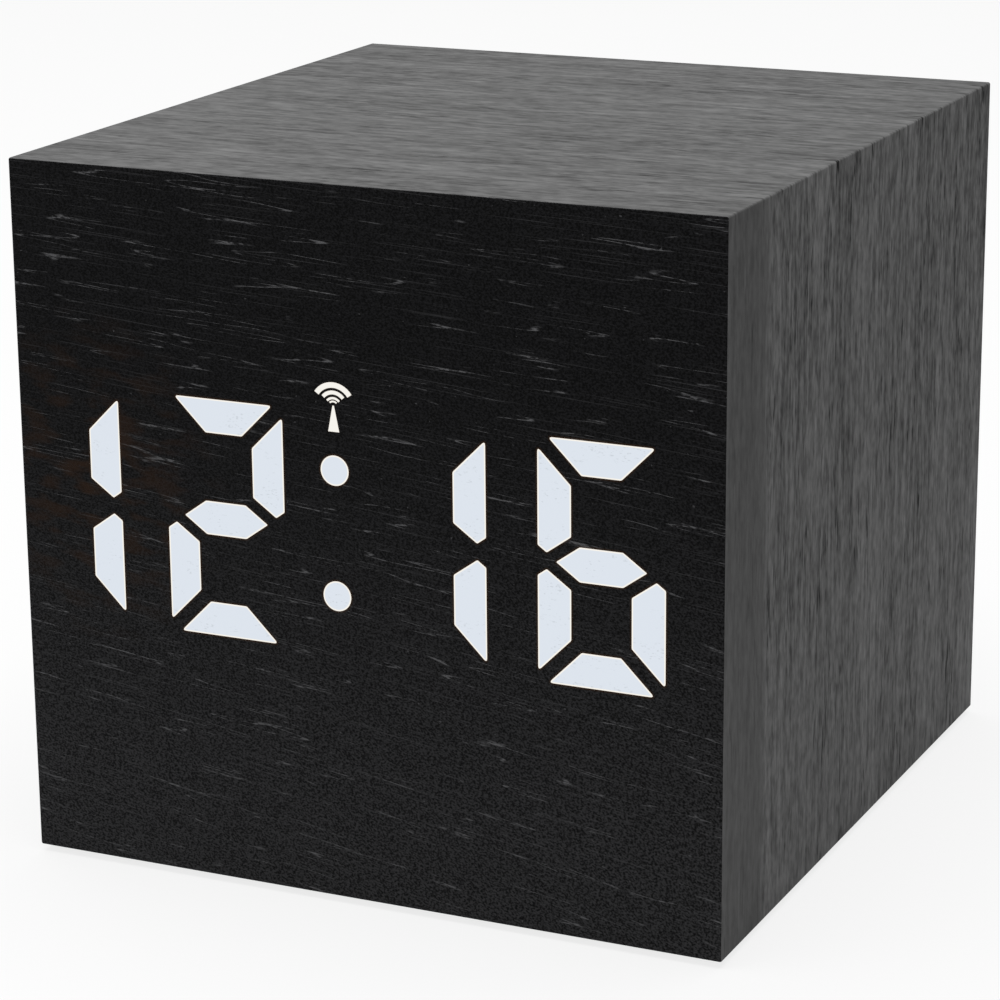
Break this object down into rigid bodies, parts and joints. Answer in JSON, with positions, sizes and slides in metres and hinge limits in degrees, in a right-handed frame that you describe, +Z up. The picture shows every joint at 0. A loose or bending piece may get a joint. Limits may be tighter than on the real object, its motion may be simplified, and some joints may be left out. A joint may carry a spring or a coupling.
{
  "type": "talking clock",
  "caption": "Cube-shaped talking clock with a wood-grain board case, lit numerals shining through the front film, rear keys, speaker grille and a battery door underneath.",
  "frame": {"origin": "middle of the base on the surface that the feet stand on, under the centre of the box", "axes": "+X to the reader's right, +Y from the display towards the back, +Z up"},
  "size_m": [0.065, 0.068, 0.0626],
  "materials": {
    "board": "raw medium density fibreboard",
    "grain_wrap": "dark grey wood-grain film, grain running round the case",
    "front_film": "black wood-grain film, grain running across",
    "dark_window": "black film over unlit bars",
    "lit_window": "lit cool white film",
    "panel_plastic": "black moulded plastic",
    "diffuser": "milky film",
    "reflector": "white moulded plastic",
    "circuit_board": "green solder mask",
    "lamp": "white lamp chips",
    "chip": "moulded chip packages",
    "header": "cream connector housings",
    "flat_cable": "grey ribbon cable",
    "can": "sleeved capacitor cans",
    "ferrite": "sintered ferrite",
    "winding": "enamelled copper wire",
    "clip_plastic": "natural nylon",
    "speaker_steel": "black passivated steel",
    "magnet": "nickel plated magnet cup",
    "cone": "black paper cone",
    "surround": "soft rolled edge",
    "gasket": "foam ring",
    "cover": "fine textured black moulding",
    "button": "satin black key tops",
    "switch": "moulded switch housings",
    "socket_steel": "tin plated steel",
    "tongue": "black contact carrier",
    "screw": "black zinc plated steel",
    "cell": "plain foil sleeve",
    "contact": "nickel plated spring steel",
    "foot_rubber": "black silicone rubber"
  },
  "bodies": {
    "case": {"aerial_clips": "clip_plastic", "aerial_coil": "winding", "batteries": "cell", "battery_tray": "cover", "bottom_board": "board", "cable_headers": "header", "capacitors": "can", "colon_dots": "lit_window", "control_board": "circuit_board", "corner_blocks": "board", "diffuser_film": "diffuser", "display_board": "circuit_board", "display_cable": "flat_cable", "display_reflector": "reflector", "driver_chip": "chip", "ferrite_rod": "ferrite", "front_film": "front_film", "front_panel": "panel_plastic", "hour_ones_bars": "lit_window", "hour_tens_bars": "lit_window", "led_chips": "lamp", "left_board": "board", "minute_ones_bars": "lit_window", "minute_tens_bars": "lit_window", "negative_contacts": "contact", "positive_contacts": "contact", "radio_sign": "lit_window", "rear_cover": "cover", "rear_screws": "screw", "right_board": "board", "rubber_feet": "foot_rubber", "skin_wrap": "grain_wrap", "slide_housing": "switch", "small_screws": "screw", "socket_shell": "socket_steel", "socket_tongue": "tongue", "speaker_frame": "speaker_steel", "speaker_gasket": "gasket", "speaker_magnet": "magnet", "speaker_surround": "surround", "switch_housings": "switch", "tap_sensor": "can", "top_board": "board", "unlit_bars": "dark_window", "voice_chip": "chip"},
    "set_key": {"set_button": "button", "set_plunger": "switch"},
    "up_key": {"up_button": "button", "up_plunger": "switch"},
    "down_key": {"down_button": "button", "down_plunger": "switch"},
    "talk_key": {"talk_button": "button", "talk_plunger": "switch"},
    "sound_slide": {"slide_knob": "button"},
    "speaker_diaphragm": {"speaker_cone": "cone", "voice_coil": "winding"},
    "door": {"battery_door": "cover"}
  },
  "joints": [
    {"name": "talk_press", "type": "slide", "parent": "case", "child": "talk_key", "axis": [0, -1, 0], "range_m": [0, 0.0004], "stiffness_N_per_m": 1000},
    {"name": "down_press", "type": "slide", "parent": "case", "child": "down_key", "axis": [0, -1, 0], "range_m": [0, 0.0004], "stiffness_N_per_m": 1000},
    {"name": "up_press", "type": "slide", "parent": "case", "child": "up_key", "axis": [0, -1, 0], "range_m": [0, 0.0004], "stiffness_N_per_m": 1000},
    {"name": "set_press", "type": "slide", "parent": "case", "child": "set_key", "axis": [0, -1, 0], "range_m": [0, 0.0004], "stiffness_N_per_m": 1000},
    {"name": "sound_level", "type": "slide", "parent": "case", "child": "sound_slide", "axis": [1, 0, 0], "range_m": [0, 0.002]},
    {"name": "cone_stroke", "type": "slide", "parent": "case", "child": "speaker_diaphragm", "axis": [0, 1, 0], "range_m": [-0.0003, 0.0003], "stiffness_N_per_m": 1500, "deforming": ["speaker_surround"]},
    {"name": "door_swing", "type": "hinge", "parent": "case", "child": "door", "pos_m": [0, -0.0157, 0.0016], "axis": [-1, 0, 0], "range_deg": [0, 95]}
  ]
}
